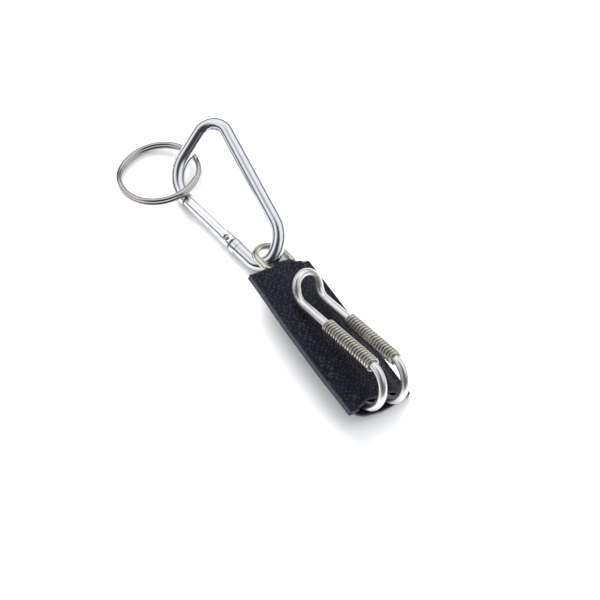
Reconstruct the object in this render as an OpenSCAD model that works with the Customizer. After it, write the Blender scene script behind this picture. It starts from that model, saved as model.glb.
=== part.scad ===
// Key organiser: a leather fob with a sprung wire clip, a D-ring, a carabiner and a split key ring.
// The fob lies on a table on its right-hand edge and the Z axis points up from the table.
// The D-ring's left leg crosses over the carabiner, so the fob leans and its left edge is raised.
// The origin is on the table, in the middle of the whole object's footprint.

/* [Leather fob] */
// Width of the leather body
fob_w = 26; // [26:0.5:30]
// Length of the leather body without its tab
fob_len = 61.5; // [58:0.5:66]
// Thickness of one leather layer
hide_t = 0.9; // [0.7:0.1:1.1]
// Sideways lean of the fob on the table, in degrees
lean = 24; // [24:0.5:26]
// Rise of the front layer over the pocket
front_rise = 2.2; // [2.2:0.1:2.4]
// Bulge of the back layer under the pocket
back_rise = 3.5; // [3.5:0.1:3.7]
// Width of the tab that holds the D-ring
tab_w = 8.8; // [8:0.2:8.8]

/* [Wire clip] */
// Diameter of the clip wire
wire_d = 2.9; // [2.6:0.1:2.9]
// Spacing of the two wires, centre to centre
wire_gap = 9.5; // [9:0.5:10.5]
// Slope of the clip over the leather, in degrees
clip_slope = 14.5; // [13:0.5:16]
// Angle between the lead-in lip and the leather, in degrees
lip_angle = 44; // [40:1:48]
// Bend radius of each hook
hook_r = 7.6; // [7.4:0.1:7.8]

/* [Coil springs] */
// Diameter of the spring wire
coil_wire_d = 0.8; // [0.7:0.05:0.9]
// Turns in each spring
coil_turns = 20; // [16:1:22]
// Length of each spring
coil_len = 24; // [23:0.5:24]

/* [Carabiner] */
// Diameter of the carabiner rod
rod_d = 5; // [4.6:0.1:5.1]
// Outside diameter of the gate
gate_d = 4.3; // [4.2:0.1:4.5]

/* [Rings] */
// Diameter of the D-ring wire
dee_wire_d = 2.4; // [2.2:0.1:2.4]
// Outside diameter of the split ring
split_od = 30; // [29:0.5:31]
// Height of each coil of the split ring
split_coil_h = 1.3; // [1.2:0.05:1.35]

/* [Hidden] */
$fn = 48;

// Where a straight rod runs into a bend: how far, and how much thinner the bend is
lap = 0.2;
lap_step = 0.03;

// ---- leather body, in its own frame: x across, y towards the D-ring, z out of the front face
half_w = fob_w / 2;
half_len = fob_len / 2;
bar_y = half_len + 0.5;
fob_at = [6.5, -2.95 - bar_y, half_w * sin(lean) + hide_t * cos(lean)];
seam_w = 2.2;
dome_half = half_w - seam_w;
dome_power = 3;
top_rise = 1.0;
pocket_y = 16.75 - half_len;
pocket_fade = 18;
mouth_cut = 2.6;
mouth_half = 9.5;
mouth_ramp = 3;
notch_depth = 1.7;
notch_side = 1.9;
strap_t = 0.7;
bar_clear = 0.05;
strap_in = 6;

// ---- wire clip, in the fob's frame
wire_r = wire_d / 2;
wire_x = wire_gap / 2;
hook_y = 5.55 - half_len;
pocket_wire_z = -1.55;
hook_z = pocket_wire_z + hook_r;
hook_top = [hook_y + hook_r * sin(clip_slope), hook_z + hook_r * cos(clip_slope)];
leg_len = 38.4;
leg_dir = [cos(clip_slope), -sin(clip_slope)];
kink = hook_top + leg_len * leg_dir;
lip_dir = [cos(lip_angle), sin(lip_angle)];
lip_len = 8.3;
kink_r = 5;
leg_end_gap = 2;
coil_clear = 0.2;
coil_back = 1;
coil_r = wire_r + coil_clear + coil_wire_d / 2;
hinge_pt = hook_top + (coil_len - coil_back) / 2 * leg_dir;
pocket_leg = 7;
bar_d = 1.6;

// ---- carabiner, in its own frame: the spine lies along y at x = 0, the gate is on the -x side
rod_r = rod_d / 2;
apex_pt = [0, 45.5];
nose_pt = [-26.7, 30.4];
heel_pt = [-11.5, -19];
foot_pt = [0, -10.3];
apex_r = 6;
nose_r = 12.8;
heel_r = 5.1;
foot_r = 13.4;
gate_dir = (heel_pt - nose_pt) / norm(heel_pt - nose_pt);
gate_ang = atan2(gate_dir[1], gate_dir[0]);
nose_end = 10.5;
gate_start = 10.9;
rivet_at = 32.4;
gate_end = 34.3;
shoulder_at = 35.3;
collar_len = 2.2;
collar_step = 0.22;
knuckle_from = 30.2;
knuckle_r = gate_d / 2 + 0.3;
gate_bore = 3.4;
blade_t = 1.8;
blade_w = 2.3;
rivet_d = 1.6;
rivet_clear = 0.05;
rivet_head_d = 2.1;
rivet_head_h = 0.4;
rivet_seat = knuckle_r - 0.45;
plunger_len = 4;
plunger_gap = 0.1;
carabiner_at = [15.4, 15.85, 9.5];
carabiner_turn = [7.5, -22.9, -9.2];

// ---- D-ring: hangs from the bar in the tab
tab_x = 1.75;
dee_at = [tab_x, bar_y, 0];
dee_turn = [-7.5, 0, 0];
dee_r = dee_wire_d / 2;
dee_w = 11.7;
dee_h = 11.35;

// ---- split ring
split_at = [-6.9, 54, 4.35];
split_turn = [-8.4, -1.4, 0];
split_band = 1.8;

// ---------------------------------------------------------------- helpers
function unit(v) = v / norm(v);
function smooth(t) = let (u = max(0, min(1, t))) u * u * (3 - 2 * u);
function corner_angle(a, b, c) = acos(unit(a - b) * unit(c - b));
function tangent_len(a, b, c, r) = r / tan(corner_angle(a, b, c) / 2);
function arc_centre(a, b, c, r) =
    b + unit(unit(a - b) + unit(c - b)) * r / sin(corner_angle(a, b, c) / 2);
function turn_sign(a, b, c) = sign(cross(b - a, c - b));

// A straight round rod from p to q in the XY plane.
module rod(p, q, r) {
    translate([p[0], p[1], 0])
        rotate([0, 90, atan2(q[1] - p[1], q[0] - p[0])])
            cylinder(h = norm(q - p), r = r);
}

// A round rod bent round the corner b, between the straights a-b and b-c. It is a hair thinner than
// the straights, which run into it a little way, so that the joints are clean.
module bent_rod(a, b, c, bend_r, r) {
    centre = arc_centre(a, b, c, bend_r);
    away = tangent_len(a, b, c, bend_r);
    first = b + away * unit(a - b) - centre;
    last = b + away * unit(c - b) - centre;
    from = turn_sign(a, b, c) > 0 ? first : last;
    translate([centre[0], centre[1], 0])
        rotate([0, 0, atan2(from[1], from[0])])
            rotate_extrude(angle = 180 - corner_angle(a, b, c))
                translate([bend_r, 0])
                    circle(r = r - lap_step);
}

// A round rod along the points p, whose inner corners have the bend radii in bends.
module wire(p, bends, r) {
    n = len(p);
    cut = [for (i = [0 : n - 1]) (i == 0 || i == n - 1) ? 0 :
        tangent_len(p[i - 1], p[i], p[i + 1], bends[i - 1])];
    for (i = [0 : n - 2]) {
        d = unit(p[i + 1] - p[i]);
        from = cut[i] > 0 ? cut[i] - lap : 0;
        to = cut[i + 1] > 0 ? cut[i + 1] - lap : 0;
        rod(p[i] + from * d, p[i + 1] - to * d, r);
    }
    for (i = [1 : n - 2])
        bent_rod(p[i - 1], p[i], p[i + 1], bends[i - 1], r);
}

// Turns the XY plane into the YZ plane, at the distance x.
module in_yz(x) {
    translate([x, 0, 0])
        rotate([90, 0, 90])
            children();
}

// A closed solid swept along rings of points, as one polyhedron. Each end is closed by one flat
// face, or by a strip of triangles where the two halves of a ring face each other.
module swept(rings, strip_ends = false) {
    n = len(rings);
    k = len(rings[0]);
    pts = [for (ring = rings) each ring];
    sides = [for (i = [0 : n - 2], j = [0 : k - 1])
        let (a = i * k + j, b = i * k + (j + 1) % k)
            each [[a, b, b + k], [a, b + k, a + k]]];
    last = (n - 1) * k;
    flat = [[for (j = [k - 1 : -1 : 0]) j], [for (j = [0 : k - 1]) last + j]];
    strips = [for (j = [0 : k / 2 - 2])
        let (a = j, b = j + 1, c = k - 2 - j, d = k - 1 - j)
            each [[c, b, a], [d, c, a], [last + a, last + b, last + c], [last + a, last + c, last + d]]];
    polyhedron(points = pts, faces = concat(sides, strip_ends ? strips : flat), convexity = 10);
}

// A helical spring about the z axis from z = 0 to z = length.
module coil(mean_r, thick, turns, length, steps, sides) {
    rise = (length - thick) / (turns * 360);
    swept([for (i = [0 : turns * steps])
        let (a = i * 360 / steps, z = thick / 2 + a * rise)
            [for (j = [0 : sides - 1])
                let (b = (j + 0.5) * 360 / sides, w = mean_r + thick / 2 * cos(b))
                    [w * cos(a), w * sin(a), z + thick / 2 * sin(b)]]]);
}

module in_fob() {
    translate(fob_at)
        rotate([0, lean, 0])
            children();
}

module in_carabiner() {
    translate(carabiner_at)
        rotate(carabiner_turn)
            children();
}

// Origin on the gate's centre line, x along it from the nose to the heel.
module on_gate_line(s) {
    at = nose_pt + s * gate_dir;
    translate([at[0], at[1], 0])
        rotate([0, 0, gate_ang])
            children();
}

// ---------------------------------------------------------------- leather fob
function dome(x) = max(0, 1 - pow(abs(x) / dome_half, dome_power));
function pocket_share(y) = smooth((pocket_y + pocket_fade - y) / pocket_fade);
function rise_at(y, rise) = top_rise + (rise - top_rise) * pocket_share(y);
function top_y(x) = half_len - (abs(x - tab_x) < dee_w / 2 + notch_side ? notch_depth : 0);
function mouth_y(x, side) =
    -half_len + (side > 0 ? mouth_cut * smooth((mouth_half - abs(x)) / mouth_ramp) : 0);

// One leather layer, domed over the pocket. side is 1 for the front and -1 for the back.
module panel(rise, side) {
    across = [-half_w, -dome_half, -9, -7.5, -6, -4.5, -2.5, 0, 2.5, 4.5, 6, 7.5, 9, dome_half, half_w];
    steps = 16;
    section = function(x, t)
        let (from = mouth_y(x, side), y = from + t * (top_y(x) - from), z = rise_at(y, rise) * dome(x))
            [y, z];
    rings = [for (i = [0 : steps])
        concat(
            [for (x = across) let (s = section(x, i / steps)) [x, s[0], side * s[1]]],
            [for (k = [len(across) - 1 : -1 : 0])
                let (s = section(across[k], i / steps)) [across[k], s[0], side * (s[1] + hide_t)]])];
    swept(side > 0 ? rings : [for (r = rings) [for (k = [len(r) - 1 : -1 : 0]) r[k]]], true);
}

module front_panel() {
    color("#1b1b20")
        in_fob()
            panel(front_rise, 1);
}

module back_panel() {
    color("#17171b")
        in_fob()
            panel(back_rise, -1);
}

// The strap that is folded round the D-ring's bar and glued between the panels.
module ring_strap() {
    color("#222228")
        in_fob()
            translate(dee_at)
                in_yz(-tab_w / 2)
                    linear_extrude(tab_w)
                        difference() {
                            union() {
                                circle(r = dee_r + bar_clear + strap_t);
                                translate([-strap_in, -strap_t])
                                    square([strap_in, 2 * strap_t]);
                            }
                            circle(r = dee_r + bar_clear);
                        }
}

// The stiffening board between the panels.
module core_board() {
    board_t = 0.8;
    board_w = 16;
    board_from = -10;
    board_to = bar_y - strap_in - 0.4;
    color("#7a6a55")
        in_fob()
            translate([-board_w / 2, board_from, -board_t / 2])
                cube([board_w, board_to - board_from, board_t]);
}

// ---------------------------------------------------------------- wire clip
// One wire: two hooks that are joined by a bow inside the pocket.
module base_wire() {
    bow_r = 3;
    bow_y = hook_y + pocket_leg;
    color("#c9c9c6")
        in_fob() {
            for (side = [-1, 1])
                in_yz(side * wire_x) {
                    translate([hook_y, hook_z])
                        rotate([0, 0, 90 - clip_slope])
                            rotate_extrude(angle = 180 + clip_slope)
                                translate([hook_r, 0])
                                    circle(r = wire_r - lap_step);
                    rod(hook_top - lap * leg_dir, hinge_pt - leg_end_gap * leg_dir, wire_r);
                }
            translate([0, 0, pocket_wire_z])
                wire([[-wire_x, hook_y - lap], [-wire_x, bow_y], [wire_x, bow_y], [wire_x, hook_y - lap]],
                     [bow_r, bow_r], wire_r);
        }
}

// The bar across the pocket that keeps the hooks down.
module pocket_bar() {
    bar_len = 11.5;
    bar_from_mouth = 3.75;
    bar_gap = 0.02;
    from_hook = hook_r - wire_r - bar_d / 2 - bar_gap;
    y = -half_len + bar_from_mouth;
    z = hook_z - sqrt(pow(from_hook, 2) - pow(y - hook_y, 2));
    color("#b5b5b2")
        in_fob()
            translate([-bar_len / 2, y, z])
                rotate([0, 90, 0])
                    cylinder(h = bar_len, d = bar_d);
}

// The sprung loop: two legs, the two bends of the lead-in lip, and the round end.
module clip_loop() {
    tip = kink + (lip_len - wire_x) * lip_dir;
    color("#cfcfcc")
        in_fob() {
            for (side = [-1, 1])
                in_yz(side * wire_x)
                    wire([hinge_pt + leg_end_gap * leg_dir, kink, tip + lap * lip_dir], [kink_r], wire_r);
            translate([0, tip[0], tip[1]])
                rotate([lip_angle, 0, 0])
                    rotate_extrude(angle = 180)
                        translate([wire_x, 0])
                            circle(r = wire_r - lap_step);
        }
}

module clip_spring(x, start) {
    color("#b8b6b2")
        in_fob()
            translate([x, hook_top[0], hook_top[1]])
                rotate([-90 - clip_slope, 0, 0])
                    translate([0, 0, -coil_back])
                        rotate([0, 0, start])
                            coil(coil_r, coil_wire_d, coil_turns, coil_len, 16, 6);
}

module spring_left() {
    clip_spring(-wire_x, 200);
}

module spring_right() {
    clip_spring(wire_x, 250);
}

// ---------------------------------------------------------------- D-ring
module d_ring() {
    lower_r = 1.4;
    half = dee_w / 2;
    upper_r = half - 0.02;
    color("#c8c2b4")
        in_fob()
            translate(dee_at)
                rotate(dee_turn)
                    wire([[0, 0], [half, 0], [half, dee_h], [-half, dee_h], [-half, 0], [0, 0]],
                         [lower_r, upper_r, upper_r, lower_r], dee_r);
}

// ---------------------------------------------------------------- carabiner
module carabiner_frame() {
    shoulder = nose_pt + shoulder_at * gate_dir;
    nose = nose_pt + nose_end * gate_dir;
    tongue_t = 1.5;
    tongue_w = 2.2;
    tongue_len = 2.4;
    seat = 0.5;
    color("#dfe1e6")
        in_carabiner()
            difference() {
                union() {
                    wire([nose, nose_pt, apex_pt, foot_pt, heel_pt, shoulder],
                         [nose_r, apex_r, foot_r, heel_r], rod_r);
                    on_gate_line(shoulder_at)
                        rotate([0, 90, 0])
                            cylinder(h = collar_len, r = rod_r + collar_step);
                    on_gate_line(nose_end - seat)
                        translate([0, -tongue_w / 2, -tongue_t / 2])
                            cube([tongue_len + seat, tongue_w, tongue_t]);
                    on_gate_line(rivet_at) {
                        translate([0, -blade_w / 2, -blade_t / 2])
                            cube([shoulder_at - rivet_at + seat, blade_w, blade_t]);
                        cylinder(h = blade_t, d = blade_w, center = true);
                    }
                }
                on_gate_line(rivet_at)
                    cylinder(h = rod_d, d = rivet_d + 2 * rivet_clear, center = true);
            }
}

// The gate: a rod that is bored at both ends, turning on the rivet.
module gate() {
    bore_from = 18;
    latch_depth = 3.6;
    latch_bore = 3.2;
    slot_t = 2.4;
    slot_len = 5;
    slot_from = rivet_at - 1.4;
    past = 1;
    head_clear = 0.15;
    color("#e6e7ea")
        in_carabiner()
            difference() {
                union() {
                    on_gate_line(gate_start)
                        rotate([0, 90, 0])
                            cylinder(h = gate_end - gate_start, d = gate_d);
                    on_gate_line(knuckle_from)
                        rotate([0, 90, 0])
                            cylinder(h = gate_end - knuckle_from, r = knuckle_r);
                }
                on_gate_line(bore_from)
                    rotate([0, 90, 0])
                        cylinder(h = gate_end - bore_from + past, d = gate_bore);
                on_gate_line(gate_start - past) {
                    rotate([0, 90, 0])
                        cylinder(h = latch_depth + past, d = latch_bore);
                    translate([0, -gate_d, -slot_t / 2])
                        cube([latch_depth + past, gate_d, slot_t]);
                }
                on_gate_line(slot_from)
                    translate([0, 0, -slot_t / 2])
                        cube([slot_len, gate_d, slot_t]);
                on_gate_line(rivet_at) {
                    cylinder(h = gate_d + 2 * past, d = rivet_d, center = true);
                    for (side = [0, 180])
                        rotate([side, 0, 0])
                            translate([0, 0, rivet_seat])
                                cylinder(h = past, d = rivet_head_d + 2 * head_clear);
                }
            }
}

// The hinge pin of the gate, with a domed head at each end.
module gate_rivet() {
    dome_r = (pow(rivet_head_d / 2, 2) + pow(rivet_head_h, 2)) / (2 * rivet_head_h);
    color("#c4c6ca")
        in_carabiner()
            on_gate_line(rivet_at)
                union() {
                    cylinder(h = 2 * rivet_seat + lap, d = rivet_d, center = true);
                    for (side = [0, 180])
                        rotate([side, 0, 0])
                            intersection() {
                                translate([0, 0, rivet_seat])
                                    cylinder(h = rivet_head_h + lap, d = rivet_head_d + lap);
                                translate([0, 0, rivet_seat + rivet_head_h - dome_r])
                                    sphere(r = dome_r);
                            }
                }
}

// The spring-loaded plunger that pushes on the hinge blade.
module gate_plunger() {
    side_clear = 0.2;
    color("#b08d57")
        in_carabiner()
            on_gate_line(rivet_at - blade_w / 2 - plunger_gap - plunger_len)
                rotate([0, 90, 0])
                    cylinder(h = plunger_len, d = gate_bore - 2 * side_clear);
}

module gate_spring() {
    spring_len = 8;
    spring_r = 1.2;
    spring_wire_d = 0.4;
    spring_turns = 9;
    color("#a9a9a9")
        in_carabiner()
            on_gate_line(rivet_at - blade_w / 2 - 2 * plunger_gap - plunger_len - spring_len)
                rotate([0, 90, 0])
                    coil(spring_r, spring_wire_d, spring_turns, spring_len, 12, 6);
}

// ---------------------------------------------------------------- split ring
// One flat wire wound twice round, as one spiral.
module split_ring() {
    steps = 72;
    turns = 2;
    outer = split_od / 2;
    inner = outer - split_band;
    edge = 0.3;
    gap = 0.04;
    profile = function(r0, r1, h)
        [[r0 + edge, 0], [r1 - edge, 0], [r1, edge], [r1, h - edge],
         [r1 - edge, h], [r0 + edge, h], [r0, h - edge], [r0, edge]];
    base = profile(inner, outer, split_coil_h);
    pitch = split_coil_h + gap;
    start = -36;
    step_from = 0.42;
    step_over = 0.16;
    lowest = 1.5 * pitch;
    level = function(t) pitch * smooth((t - step_from) / step_over);
    color("#c6c0b6")
        translate(split_at)
            rotate(split_turn)
                swept([for (i = [0 : turns * steps - 3])
                    let (turn_at = i / steps, a = start + 360 * turn_at,
                         z = (turn_at < 1 ? level(turn_at) : pitch + level(turn_at - 1)) - lowest)
                        [for (q = base) [q[0] * cos(a), q[0] * sin(a), q[1] + z]]]);
}

front_panel();
back_panel();
ring_strap();
core_board();
base_wire();
pocket_bar();
clip_loop();
spring_left();
spring_right();
d_ring();
carabiner_frame();
gate();
gate_rivet();
gate_plunger();
gate_spring();
split_ring();
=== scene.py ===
# Looks for the key organiser: leather, wound springs, the split ring, materials, floor, light and camera.
import bpy
import math
from mathutils import Matrix, Vector, noise


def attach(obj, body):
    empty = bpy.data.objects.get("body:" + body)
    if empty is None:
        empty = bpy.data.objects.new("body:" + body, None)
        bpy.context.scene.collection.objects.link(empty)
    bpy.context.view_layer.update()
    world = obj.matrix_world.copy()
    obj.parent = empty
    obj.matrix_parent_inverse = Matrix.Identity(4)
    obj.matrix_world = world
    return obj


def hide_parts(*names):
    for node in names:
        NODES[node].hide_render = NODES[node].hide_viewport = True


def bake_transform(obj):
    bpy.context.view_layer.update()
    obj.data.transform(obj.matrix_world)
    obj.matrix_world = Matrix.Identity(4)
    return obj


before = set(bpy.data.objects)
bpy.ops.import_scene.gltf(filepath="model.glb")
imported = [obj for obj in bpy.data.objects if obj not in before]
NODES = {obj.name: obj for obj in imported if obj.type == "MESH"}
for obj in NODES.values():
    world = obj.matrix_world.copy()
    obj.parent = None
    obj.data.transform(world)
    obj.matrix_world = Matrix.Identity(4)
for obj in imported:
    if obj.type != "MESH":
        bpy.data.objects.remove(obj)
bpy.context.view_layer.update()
MM = 0.001

# ---- the sizes of the part that the pieces here are built on, in millimetres and degrees
HALF_W = 13.0
HALF_LEN = 30.75
HIDE = 0.9
LEAN = 24.0
SEAM = 2.2
DOME_HALF = HALF_W - SEAM
TAB_X = 1.75
BAR_Y = HALF_LEN + 0.5
WIRE_X = 4.75
WIRE_R = 1.45
HOOK_Y = -25.2
HOOK_R = 7.6
HOOK_Z = -1.55 + HOOK_R
SLOPE = math.radians(14.5)
COIL_LEN = 24.0
COIL_BACK = 1.0
COIL_WIRE = 0.8
COIL_R = WIRE_R + 0.2 + COIL_WIRE / 2
FOB_Z = HALF_W * math.sin(math.radians(LEAN)) + HIDE * math.cos(math.radians(LEAN))
FOB = Matrix.Translation((6.5, -34.2, FOB_Z)) @ Matrix.Rotation(math.radians(LEAN), 4, "Y")
RING = (Matrix.Translation((-6.9, 54.0, 4.35))
        @ Matrix.Rotation(math.radians(-1.4), 4, "Y") @ Matrix.Rotation(math.radians(-8.4), 4, "X"))


def smooth(t):
    t = max(0.0, min(1.0, t))
    return t * t * (3 - 2 * t)


def lerp(a, b, t):
    return a + (b - a) * t


# ------------------------------------------------------------------ mesh helpers
def make(name, verts, faces, place, uvs=None):
    """A mesh object in metres, from points in millimetres that 'place' moves to where they belong."""
    mesh = bpy.data.meshes.new(name)
    mesh.from_pydata([tuple((place @ Vector(v)) * MM) for v in verts], [], faces)
    if uvs:
        layer = mesh.uv_layers.new(name="UVMap")
        for loop in mesh.loops:
            layer.data[loop.index].uv = uvs[loop.vertex_index]
    mesh.validate()
    mesh.update()
    for poly in mesh.polygons:
        poly.use_smooth = True
    ob = bpy.data.objects.new(name, mesh)
    bpy.context.scene.collection.objects.link(ob)
    return ob


def sweep(name, rings, place):
    """A solid through rings of points, with its ends closed."""
    k = len(rings[0])
    verts = [p for ring in rings for p in ring]
    faces = []
    for i in range(len(rings) - 1):
        for j in range(k):
            a = i * k + j
            b = i * k + (j + 1) % k
            faces.append((a, b, b + k, a + k))
    last = (len(rings) - 1) * k
    faces.append(tuple(range(k - 1, -1, -1)))
    faces.append(tuple(last + j for j in range(k)))
    return make(name, verts, faces, place)


def spread(length, ends, middle):
    """Stations from 0 to length: close together near both ends, and even between them."""
    inner = [ends[-1] + (length - 2 * ends[-1]) * i / middle for i in range(1, middle)]
    return list(ends) + inner + [length - e for e in reversed(ends)]


# ------------------------------------------------------------------ leather
EDGE_STEPS = (0.0, 0.05, 0.11, 0.19, 0.3, 0.45, 0.7, 1.1, 1.7, 2.4)
CORNER_R = 0.8
TAB_HALF = 4.42
FILLET_R = 1.6
FOLD_R = 1.5
TAB_HIDE = 0.44
FRONT_RISE = 2.2
BACK_RISE = 3.5
SHOULDER_R = 0.36
EDGE_SHARE = 0.68
GROOVE_DEPTH = 0.16
GROOVE_W = 0.12
# width of the rim band: glossier edge paint, coloured lighter as a painted highlight along the edge
EDGE_PAINT_HIGHLIGHT_W = 0.5
BOW = 0.7
FAR = 9.0
UV_PER_MM = 0.01
# extra columns beside the tab's edges, and where the front layer is cut back at the pocket's mouth
TAB_COLUMNS = (-0.5, -0.2, -0.02, 0.02, 0.25, 0.6, 1.0, 1.5)
MOUTH_COLUMNS = (9.15, 9.3, 9.5, 9.6, 9.75)


def corner_cut(x, r):
    over = abs(x) - (HALF_W - r)
    return r - math.sqrt(max(0.0, r * r - over * over)) if over > 0 else 0.0


def ragged(s, seed, amount):
    """A hand-cut edge: a small wander along it."""
    return amount * noise.noise(Vector((s * 0.55, seed, 3.7)))


def top_edge(x):
    d = abs(x - TAB_X)
    shoulder = HALF_LEN - corner_cut(x, CORNER_R) + ragged(x, 1.3, 0.12)
    if d <= TAB_HALF:
        return BAR_Y + FOLD_R * math.pi / 2
    if d < TAB_HALF + FILLET_R:
        run = TAB_HALF + FILLET_R - d
        return min(shoulder + FILLET_R - math.sqrt(max(0.0, FILLET_R ** 2 - run ** 2)), BAR_Y - 0.2)
    return shoulder


def mouth_edge(x, front):
    low = -HALF_LEN + corner_cut(x, CORNER_R) + ragged(x, 8.1 if front else 5.2, 0.16)
    if front:
        cut = 0.8 * smooth((9.7 - abs(x)) / 0.5) + 0.65 * smooth((6.9 - abs(x)) / 0.8)
        round_hooks = 0.35 * math.exp(-((abs(x) - WIRE_X) / 1.6) ** 2)
        return low + cut + round_hooks
    return low - 0.25 * smooth((8.0 - abs(x)) / 6.0)


def rise_at(y, rise):
    """How far a layer stands off the middle at y: 1 mm at the tab, and 'rise' over the pocket."""
    return 1.0 + (rise - 1.0) * smooth((4.0 - y) / 18.0)


def leather_layer(name, rise, side):
    """One leather layer, from the pocket's mouth to the fold round the D-ring's bar. side: 1 front, -1 back."""
    front = side > 0
    xs = sorted(set([round(-HALF_W + s, 4) for s in spread(2 * HALF_W, EDGE_STEPS, 74)]
                    + [round(TAB_X + sgn * (TAB_HALF + e), 4) for sgn in (-1, 1)
                       for e in TAB_COLUMNS]
                    + [sgn * e for sgn in (-1, 1) for e in MOUTH_COLUMNS]))
    ts = spread(1.0, [e / 62 for e in EDGE_STEPS], 132)
    n, m = len(xs), len(ts)
    outer, inner, uvs, rim_paint_highlight_share = [], [], [], []
    for t in ts:
        for x in xs:
            lo, hi = mouth_edge(x, front), top_edge(x)
            y = lo + t * (hi - lo)
            in_tab = smooth((8.6 - abs(x - TAB_X)) / 1.8) * smooth((y - 25.5) / 4.2)
            dome = max(0.0, 1 - (abs(x) / DOME_HALF) ** 3)
            z = lerp(rise_at(y, rise) * dome, FOLD_R, in_tab)
            hide = lerp(HIDE, TAB_HIDE, in_tab)
            # soft unevenness of the hide
            z += (0.07 * noise.noise(Vector((x * 0.16, y * 0.11, side * 9.0)))
                  * dome * (1 - in_tab) * smooth((HALF_LEN - abs(y)) / 6))
            bow = BOW * max(0.0, -x / HALF_W) ** 5 * smooth((HALF_LEN - abs(y + 3)) / 24)
            fold_end = abs(x - TAB_X) <= TAB_HALF
            d_side = HALF_W - abs(x)
            d_end = min(y - lo, FAR if fold_end else hi - y)
            d_tab = abs(TAB_HALF - abs(x - TAB_X)) if y > HALF_LEN and fold_end else FAR
            d = max(0.0, min(d_side, d_end, d_tab))
            round_off = math.sqrt(max(0.0, 1 - (1 - min(1.0, d / SHOULDER_R)) ** 2))
            bevel = EDGE_SHARE + (1 - EDGE_SHARE) * round_off
            groove = GROOVE_DEPTH * max(0.0, 1 - d / GROOVE_W)
            low_z, high_z = z + groove, z + hide * bevel
            if y > BAR_Y and fold_end:
                turn = (y - BAR_Y) / FOLD_R
                for store, height in ((inner, low_z), (outer, high_z)):
                    store.append((x, BAR_Y + height * math.sin(turn), side * height * math.cos(turn)))
            else:
                inner.append((x - bow, y, side * low_z))
                outer.append((x - bow, y, side * high_z))
            uvs.append((x * UV_PER_MM, y * UV_PER_MM))
            rim_paint_highlight_share.append(max(0.0, 1 - d / EDGE_PAINT_HIGHLIGHT_W))
    verts = outer + inner
    faces = []
    for i in range(m - 1):
        for j in range(n - 1):
            a, b, c, d = i * n + j, i * n + j + 1, (i + 1) * n + j + 1, (i + 1) * n + j
            faces.append((a, b, c, d))
            faces.append((d + n * m, c + n * m, b + n * m, a + n * m))
    rim = ([j for j in range(n)] + [i * n + n - 1 for i in range(1, m)]
           + [(m - 1) * n + j for j in range(n - 2, -1, -1)] + [i * n for i in range(m - 2, 0, -1)])
    for k, a in enumerate(rim):
        b = rim[(k + 1) % len(rim)]
        faces.append((b, a, a + n * m, b + n * m))
    if not front:
        faces = [tuple(reversed(f)) for f in faces]
    ob = make(name, verts, faces, FOB, uvs + uvs)
    # The rim band, 1 at the edge and fading to 0 inwards: real edge paint, glossier, with a lighter colour that
    # is a painted highlight line.
    edge_paint_highlight_layer = ob.data.attributes.new("edge_paint_and_highlight", "FLOAT", "POINT")
    edge_paint_highlight_layer.data.foreach_set("value", rim_paint_highlight_share + rim_paint_highlight_share)
    return ob


front = leather_layer("leather_front", FRONT_RISE, 1)
back = leather_layer("leather_back", BACK_RISE, -1)


def tab_liner():
    """The thin inner strap that the D-ring's bar turns in, with its tails between the two layers."""
    half = TAB_HALF - 0.25
    inner_r, outer_r, tail, slit_end, slit_half = 1.25, 1.46, 5.5, 2.4, 0.12
    turns = [math.radians(a) for a in range(-90, 91, 10)]
    bore = [math.radians(a) for a in range(120, -121, -10)]
    outline = [(-tail, -outer_r * 0.5)] + [(outer_r * math.cos(a), outer_r * math.sin(a)) for a in turns]
    outline += [(-tail, outer_r * 0.5), (-tail, slit_half), (-slit_end, slit_half)]
    outline += [(inner_r * math.cos(a), inner_r * math.sin(a)) for a in bore]
    outline += [(-slit_end, -slit_half), (-tail, -slit_half)]
    rings = [[(TAB_X + s, BAR_Y + u, v) for u, v in outline]
             for s in (-half, -half + 0.06, half - 0.06, half)]
    return sweep("tab_liner", rings, FOB)


liner = tab_liner()

# ------------------------------------------------------------------ springs
HOOK_TOP = Vector((0, HOOK_Y + HOOK_R * math.sin(SLOPE), HOOK_Z + HOOK_R * math.cos(SLOPE)))
LEG = Vector((0, math.cos(SLOPE), -math.sin(SLOPE)))
UP = Vector((0, math.sin(SLOPE), math.cos(SLOPE)))
ACROSS = Vector((1, 0, 0))


def spring(name, x, start, tail):
    """A close-wound spring on one leg of the clip, with dead end turns and a short cut tail."""
    per_turn, sides, turns, dead = 40, 14, 20, 1.1
    r = COIL_WIRE / 2
    total = turns * per_turn
    centre, height = [], 0.0
    close = COIL_WIRE * 1.015
    open_pitch = (COIL_LEN - COIL_WIRE - 2 * dead * close) / (turns - 2 * dead)
    rings = []
    for i in range(total + 1):
        turn = i / per_turn
        centre.append((turn, height + r))
        near_end = min(turn, turns - turn)
        wobble = 0.012 * math.sin(turn * 2.1 + x)
        height += (close if near_end < dead else open_pitch) / per_turn + wobble / per_turn
    scale = (COIL_LEN - COIL_WIRE) / (centre[-1][1] - r)
    origin = HOOK_TOP + ACROSS * x - LEG * COIL_BACK
    for turn, h in centre:
        a = math.radians(start) + turn * 2 * math.pi
        h = r + (h - r) * scale
        radial = ACROSS * math.cos(a) + UP * math.sin(a)
        mid = origin + LEG * h + radial * COIL_R
        rings.append([tuple(mid + radial * r * math.cos(b) + LEG * r * math.sin(b))
                      for b in (2 * math.pi * (j + 0.5) / sides for j in range(sides))])
    if tail:
        first = rings[0]
        a = math.radians(start)
        back = (ACROSS * math.sin(a) - UP * math.cos(a)) * tail - LEG * tail * 0.25
        rings.insert(0, [tuple(Vector(p) + back) for p in first])
    return sweep(name, rings, FOB)


left_coil = spring("spring_wound_left", -WIRE_X, 235, 0.9)
right_coil = spring("spring_wound_right", WIRE_X, 250, 0.0)

# ------------------------------------------------------------------ split ring


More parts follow.
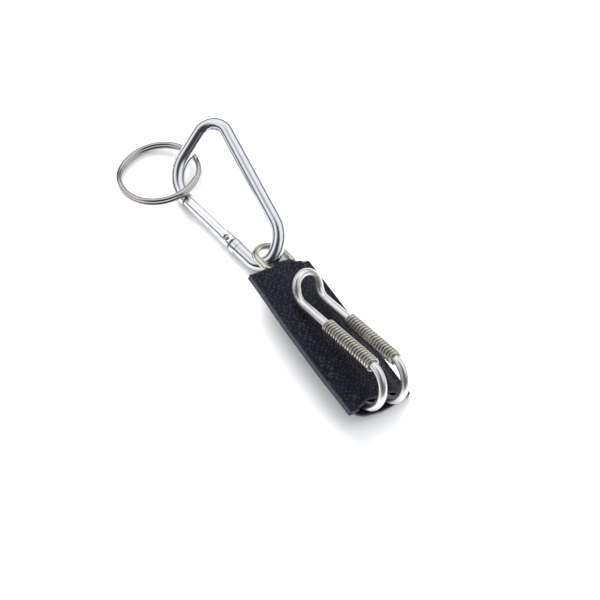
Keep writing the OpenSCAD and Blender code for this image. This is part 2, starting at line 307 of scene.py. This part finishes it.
def split_ring():
    """One flattened round wire wound twice, with the step where the coils cross over."""
    steps, turns, sides, start = 180, 2.0, 28, math.radians(-36)
    outer_r, band, h, gap = 15.0, 1.8, 1.3, 0.04
    pitch = h + gap
    mid_r, mid_h = outer_r - band / 2, h / 2
    roundness = 2 / 2.3
    cross_from, cross_len = 0.42, 0.16
    end_size, end_steps = 0.82, 3
    profile = []
    for k in range(sides):
        c, s = math.cos(2 * math.pi * k / sides), -math.sin(2 * math.pi * k / sides)
        profile.append((band / 2 * math.copysign(abs(c) ** roundness, c),
                        h / 2 * math.copysign(abs(s) ** roundness, s)))
    rings = []
    count = int(turns * steps) - 7
    for i in range(count + 1):
        turn = i / steps
        a = start + 2 * math.pi * turn
        part = turn if turn < 1 else turn - 1
        z = pitch * smooth((part - cross_from) / cross_len) + (pitch if turn >= 1 else 0) - 1.5 * pitch
        size = lerp(end_size, 1.0, min(1.0, min(i, count - i) / end_steps))
        rings.append([((mid_r + u * size) * math.cos(a), (mid_r + u * size) * math.sin(a),
                       mid_h + v * size + z) for u, v in profile])
    return sweep("split_ring_wound", rings, RING)


ring = split_ring()

# ------------------------------------------------------------------ materials


def material(name, color, metallic, roughness):
    mat = bpy.data.materials.new(name)
    mat.use_nodes = True
    shader = mat.node_tree.nodes["Principled BSDF"]
    shader.inputs["Base Color"].default_value = (*color, 1)
    shader.inputs["Metallic"].default_value = metallic
    shader.inputs["Roughness"].default_value = roughness
    return mat, mat.node_tree, shader


def node(tree, kind, inputs=None, **values):
    n = tree.nodes.new(kind)
    for key, value in values.items():
        setattr(n, key, value)
    for key, value in (inputs or {}).items():
        n.inputs[key].default_value = value
    return n


def metal(name, color, roughness, spread_to, grain, bump, tint=0.06):
    """A metal with a fine grain, a mottled roughness and slight dulling of its colour."""
    mat, tree, shader = material(name, color, 1.0, roughness)
    link = tree.links.new
    coord = node(tree, "ShaderNodeTexCoord")
    fine = node(tree, "ShaderNodeTexNoise", {"Scale": grain, "Detail": 6.0, "Roughness": 0.6})
    link(coord.outputs["Object"], fine.inputs["Vector"])
    broad = node(tree, "ShaderNodeTexNoise", {"Scale": 160.0, "Detail": 3.0})
    link(coord.outputs["Object"], broad.inputs["Vector"])
    mix = node(tree, "ShaderNodeMix", {"Factor": 0.5}, data_type="FLOAT")
    link(fine.outputs["Fac"], mix.inputs["A"])
    link(broad.outputs["Fac"], mix.inputs["B"])
    rough = node(tree, "ShaderNodeMapRange",
                 {"From Min": 0.3, "From Max": 0.7, "To Min": roughness, "To Max": spread_to})
    link(mix.outputs["Result"], rough.inputs["Value"])
    link(rough.outputs["Result"], shader.inputs["Roughness"])
    ramp = node(tree, "ShaderNodeValToRGB")
    ramp.color_ramp.elements[0].position = 0.3
    ramp.color_ramp.elements[1].position = 0.7
    ramp.color_ramp.elements[0].color = (*[c * (1 - tint) for c in color], 1)
    ramp.color_ramp.elements[1].color = (*[min(1.0, c * (1 + tint * 0.5)) for c in color], 1)
    link(broad.outputs["Fac"], ramp.inputs["Fac"])
    link(ramp.outputs["Color"], shader.inputs["Base Color"])
    relief = node(tree, "ShaderNodeBump", {"Strength": bump, "Distance": 0.00002})
    link(fine.outputs["Fac"], relief.inputs["Height"])
    link(relief.outputs["Normal"], shader.inputs["Normal"])
    return mat


def leather_material():
    """Black hide with a pressed cross-hatch, pores, lighter flecks on the grain's high spots, and a glossy edge
    paint whose lighter colour is a painted highlight.
    """
    mat, tree, shader = material("leather_black", (0.008, 0.009, 0.014), 0.0, 0.55)
    shader.inputs["Specular IOR Level"].default_value = 0.13
    link = tree.links.new
    uv = node(tree, "ShaderNodeUVMap", uv_map="UVMap")
    warp = node(tree, "ShaderNodeTexNoise", {"Scale": 22.0, "Detail": 3.0})
    link(uv.outputs["UV"], warp.inputs["Vector"])
    moved = node(tree, "ShaderNodeVectorMath", {1: (0.045, 0.045, 0.0)}, operation="MULTIPLY_ADD")
    link(warp.outputs["Color"], moved.inputs[0])
    link(uv.outputs["UV"], moved.inputs[2])
    heights = []
    for turn in (38, -38):
        mapping = node(tree, "ShaderNodeMapping")
        mapping.inputs["Rotation"].default_value = (0, 0, math.radians(turn))
        link(moved.outputs["Vector"], mapping.inputs["Vector"])
        wave = node(tree, "ShaderNodeTexWave",
                    {"Scale": 24.0, "Distortion": 4.0, "Detail": 3.0, "Detail Scale": 2.4})
        wave.wave_profile = "SIN"
        link(mapping.outputs["Vector"], wave.inputs["Vector"])
        heights.append(wave.outputs["Fac"])
    cross = node(tree, "ShaderNodeMath", operation="MULTIPLY")
    link(heights[0], cross.inputs[0])
    link(heights[1], cross.inputs[1])
    pores = node(tree, "ShaderNodeTexVoronoi", {"Scale": 190.0, "Randomness": 1.0})
    link(uv.outputs["UV"], pores.inputs["Vector"])
    fine = node(tree, "ShaderNodeTexNoise", {"Scale": 420.0, "Detail": 5.0})
    link(uv.outputs["UV"], fine.inputs["Vector"])
    grain = node(tree, "ShaderNodeMath", {1: 0.35}, operation="MULTIPLY_ADD")
    link(pores.outputs["Distance"], grain.inputs[0])
    link(cross.outputs["Value"], grain.inputs[2])
    whole = node(tree, "ShaderNodeMath", {1: 0.3}, operation="MULTIPLY_ADD")
    link(fine.outputs["Fac"], whole.inputs[0])
    link(grain.outputs["Value"], whole.inputs[2])
    relief = node(tree, "ShaderNodeBump", {"Strength": 0.75, "Distance": 0.00012})
    link(whole.outputs["Value"], relief.inputs["Height"])
    link(relief.outputs["Normal"], shader.inputs["Normal"])
    # Lighter flecks: the grain's high spots, in random cells and broad patches, lighten the base colour.
    fleck_patch_noise = node(tree, "ShaderNodeTexNoise", {"Scale": 9.0, "Detail": 3.0})
    link(uv.outputs["UV"], fleck_patch_noise.inputs["Vector"])
    chance = node(tree, "ShaderNodeTexVoronoi", {"Scale": 120.0, "Randomness": 1.0})
    link(moved.outputs["Vector"], chance.inputs["Vector"])
    fleck = node(tree, "ShaderNodeMath", operation="MULTIPLY")
    link(cross.outputs["Value"], fleck.inputs[0])
    link(chance.outputs["Color"], fleck.inputs[1])
    patch = node(tree, "ShaderNodeMath", operation="MULTIPLY")
    link(fleck.outputs["Value"], patch.inputs[0])
    link(fleck_patch_noise.outputs["Fac"], patch.inputs[1])
    ramp = node(tree, "ShaderNodeValToRGB")
    ramp.color_ramp.elements[0].position = 0.02
    ramp.color_ramp.elements[0].color = (0.0038, 0.004, 0.0085, 1)
    ramp.color_ramp.elements[1].position = 0.24
    ramp.color_ramp.elements[1].color = (0.021, 0.0225, 0.034, 1)
    link(patch.outputs["Value"], ramp.inputs["Fac"])
    rough = node(tree, "ShaderNodeMapRange",
                 {"From Min": 0.0, "From Max": 0.8, "To Min": 0.66, "To Max": 0.5})
    link(cross.outputs["Value"], rough.inputs["Value"])
    # Rim band: lower roughness for the edge paint, and a lighter base colour that is a painted highlight along
    # the edge.
    edge = node(tree, "ShaderNodeAttribute", attribute_name="edge_paint_and_highlight")
    blend = node(tree, "ShaderNodeMix", {"B": 0.3}, data_type="FLOAT")
    link(edge.outputs["Fac"], blend.inputs["Factor"])
    link(rough.outputs["Result"], blend.inputs["A"])
    link(blend.outputs["Result"], shader.inputs["Roughness"])
    edge_paint_highlight_colour = node(tree, "ShaderNodeMix", data_type="RGBA")
    edge_paint_highlight_colour.inputs["B"].default_value = (0.055, 0.057, 0.07, 1)
    link(edge.outputs["Fac"], edge_paint_highlight_colour.inputs["Factor"])
    link(ramp.outputs["Color"], edge_paint_highlight_colour.inputs["A"])
    link(edge_paint_highlight_colour.outputs["Result"], shader.inputs["Base Color"])
    return mat


def board_material():
    """Brown fibre board, hidden between the layers."""
    mat, tree, shader = material("fibre_board", (0.3, 0.24, 0.17), 0.0, 0.9)
    link = tree.links.new
    coord = node(tree, "ShaderNodeTexCoord")
    fibres = node(tree, "ShaderNodeTexNoise", {"Scale": 900.0, "Detail": 6.0})
    link(coord.outputs["Object"], fibres.inputs["Vector"])
    ramp = node(tree, "ShaderNodeValToRGB")
    ramp.color_ramp.elements[0].color = (0.2, 0.15, 0.1, 1)
    ramp.color_ramp.elements[1].color = (0.4, 0.33, 0.25, 1)
    link(fibres.outputs["Fac"], ramp.inputs["Fac"])
    link(ramp.outputs["Color"], shader.inputs["Base Color"])
    relief = node(tree, "ShaderNodeBump", {"Strength": 0.3, "Distance": 0.00005})
    link(fibres.outputs["Fac"], relief.inputs["Height"])
    link(relief.outputs["Normal"], shader.inputs["Normal"])
    return mat


leather = leather_material()
aluminium = metal("aluminium_bright", (0.64, 0.65, 0.685), 0.15, 0.22, 2600, 0.05, tint=0.03)
satin = metal("aluminium_satin", (0.84, 0.845, 0.86), 0.2, 0.27, 3200, 0.06, tint=0.02)
steel = metal("clip_steel", (0.78, 0.775, 0.77), 0.32, 0.38, 2600, 0.05, tint=0.04)
spring_steel = metal("spring_steel", (0.6, 0.57, 0.53), 0.3, 0.36, 3000, 0.05, tint=0.05)
nickel_warm = metal("nickel_warm", (0.58, 0.555, 0.49), 0.18, 0.26, 2400, 0.05, tint=0.05)
nickel = metal("nickel_bright", (0.43, 0.41, 0.395), 0.05, 0.09, 2200, 0.04, tint=0.05)
rivet_metal = metal("rivet_steel", (0.6, 0.6, 0.61), 0.2, 0.3, 2600, 0.08)
brass = metal("plunger_brass", (0.62, 0.46, 0.22), 0.25, 0.4, 2000, 0.1)

LOOKS = {"core_board": board_material(), "base_wire": steel, "pocket_bar": steel, "clip_loop": steel,
         "d_ring": nickel_warm, "carabiner_frame": aluminium, "gate": satin, "gate_rivet": rivet_metal,
         "gate_plunger": brass, "gate_spring": spring_steel}
for name, mat in LOOKS.items():
    data = NODES[name].data
    data.materials.clear()
    data.materials.append(mat)

for ob, mat, slot in ((front, leather, "black_leather"), (back, leather, "black_leather"),
                      (liner, leather, "black_leather"), (left_coil, spring_steel, "spring_steel"),
                      (right_coil, spring_steel, "spring_steel"), (ring, nickel, "ring_nickel")):
    ob.data.materials.append(mat)

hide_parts("front_panel")
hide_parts("back_panel")
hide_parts("ring_strap")
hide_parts("spring_left")
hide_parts("spring_right")
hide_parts("split_ring")
for ob in (front, back, liner):
    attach(ob, "fob")
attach(ring, "ring")
for ob, x in ((left_coil, -WIRE_X), (right_coil, WIRE_X)):
    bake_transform(ob)

# ------------------------------------------------------------------ floor, light and camera
TARGET = Vector((0.0064, -0.0172, 0.005))
EYE = Vector((-0.1502, -0.2630, 0.4714))

FLOOR_HALF = 1500

corners = [(FLOOR_HALF * a, FLOOR_HALF * b, 0) for a, b in ((-1, -1), (1, -1), (1, 1), (-1, 1))]
floor = make("floor", corners, [(0, 1, 2, 3)], Matrix.Identity(4))
floor_mat, _, floor_shader = material("table_white", (0.9, 0.9, 0.905), 0.0, 0.55)
floor_shader.inputs["Specular IOR Level"].default_value = 0.2
floor.data.materials.append(floor_mat)

camera = bpy.data.cameras.new("camera")
camera.lens = 99
camera.sensor_width = 36
camera.clip_start = 0.01
camera_ob = bpy.data.objects.new("camera", camera)
camera_ob.location = EYE
camera_ob.rotation_euler = (TARGET - EYE).to_track_quat("-Z", "Y").to_euler()
bpy.context.scene.collection.objects.link(camera_ob)
bpy.context.scene.camera = camera_ob


def area_light(name, offset, size, power, color):
    """A square light aimed at the target. Mirrors don't see it, so it leaves no white band on the rods."""
    data = bpy.data.lights.new(name, "AREA")
    data.energy = power
    data.color = color
    data.size = size
    ob = bpy.data.objects.new(name, data)
    ob.location = TARGET + Vector(offset)
    ob.rotation_euler = (-Vector(offset)).to_track_quat("-Z", "Y").to_euler()
    ob.visible_glossy = False
    bpy.context.scene.collection.objects.link(ob)


area_light("key", (0.3, 0.88, 0.65), 0.8, 17.0, (1.0, 0.99, 0.97))


def studio(fill, level, horizon, gap_at, gap_half, dark_side):
    """A light tent: bright above, dark round the horizon, with a long dark opening at the top for the camera.

    Mirrors see the tent, at 'level'. Everything else gets an even 'fill', a little weaker on the dark side.
    """
    world = bpy.data.worlds.new("studio")
    world.use_nodes = True
    bpy.context.scene.world = world
    tree = world.node_tree
    link = tree.links.new
    coord = node(tree, "ShaderNodeTexCoord")
    split = node(tree, "ShaderNodeSeparateXYZ")
    link(coord.outputs["Generated"], split.inputs["Vector"])
    rise = node(tree, "ShaderNodeMapRange", interpolation_type="SMOOTHSTEP",
                inputs={"From Min": 0.28, "From Max": 0.6, "To Min": horizon, "To Max": 1.0})
    link(split.outputs["Z"], rise.inputs["Value"])
    place = node(tree, "ShaderNodeMapping", vector_type="TEXTURE")
    place.inputs["Location"].default_value = (gap_at[0], gap_at[1], 1.0)
    place.inputs["Scale"].default_value = (gap_half[0], gap_half[1], 1.0)
    link(coord.outputs["Generated"], place.inputs["Vector"])
    away = node(tree, "ShaderNodeVectorMath", operation="LENGTH")
    link(place.outputs["Vector"], away.inputs[0])
    gap = node(tree, "ShaderNodeMapRange", interpolation_type="SMOOTHSTEP",
               inputs={"From Min": 0.7, "From Max": 1.25, "To Min": 0.04, "To Max": 1.0})
    link(away.outputs["Value"], gap.inputs["Value"])
    behind = node(tree, "ShaderNodeVectorMath", {1: dark_side}, operation="DOT_PRODUCT")
    link(coord.outputs["Generated"], behind.inputs[0])
    shade = node(tree, "ShaderNodeMapRange", interpolation_type="SMOOTHSTEP",
                 inputs={"From Min": 0.2, "From Max": 0.6, "To Min": 1.0, "To Max": 0.1})
    link(behind.outputs["Value"], shade.inputs["Value"])
    lit = node(tree, "ShaderNodeMath", operation="MULTIPLY")
    link(gap.outputs["Result"], lit.inputs[0])
    link(shade.outputs["Result"], lit.inputs[1])
    both = node(tree, "ShaderNodeMath", operation="MULTIPLY")
    link(rise.outputs["Result"], both.inputs[0])
    link(lit.outputs["Value"], both.inputs[1])
    shine = node(tree, "ShaderNodeMath", {1: level}, operation="MULTIPLY")
    link(both.outputs["Value"], shine.inputs[0])
    soft = node(tree, "ShaderNodeMath", {1: 0.65 * fill, 2: 0.35 * fill}, operation="MULTIPLY_ADD")
    link(shade.outputs["Result"], soft.inputs[0])
    path = node(tree, "ShaderNodeLightPath")
    seen = node(tree, "ShaderNodeMix", data_type="FLOAT")
    link(soft.outputs["Value"], seen.inputs["A"])
    link(path.outputs["Is Glossy Ray"], seen.inputs["Factor"])
    link(shine.outputs["Value"], seen.inputs["B"])
    background = tree.nodes["Background"]
    background.inputs["Color"].default_value = (0.975, 0.985, 1.0, 1)
    link(seen.outputs["Result"], background.inputs["Strength"])


studio(fill=1.56, level=1.35, horizon=0.08, gap_at=(-0.2, -0.2), gap_half=(0.46, 0.6),
       dark_side=(-0.54, -0.84, 0.0))
bpy.context.scene.view_settings.view_transform = "Standard"
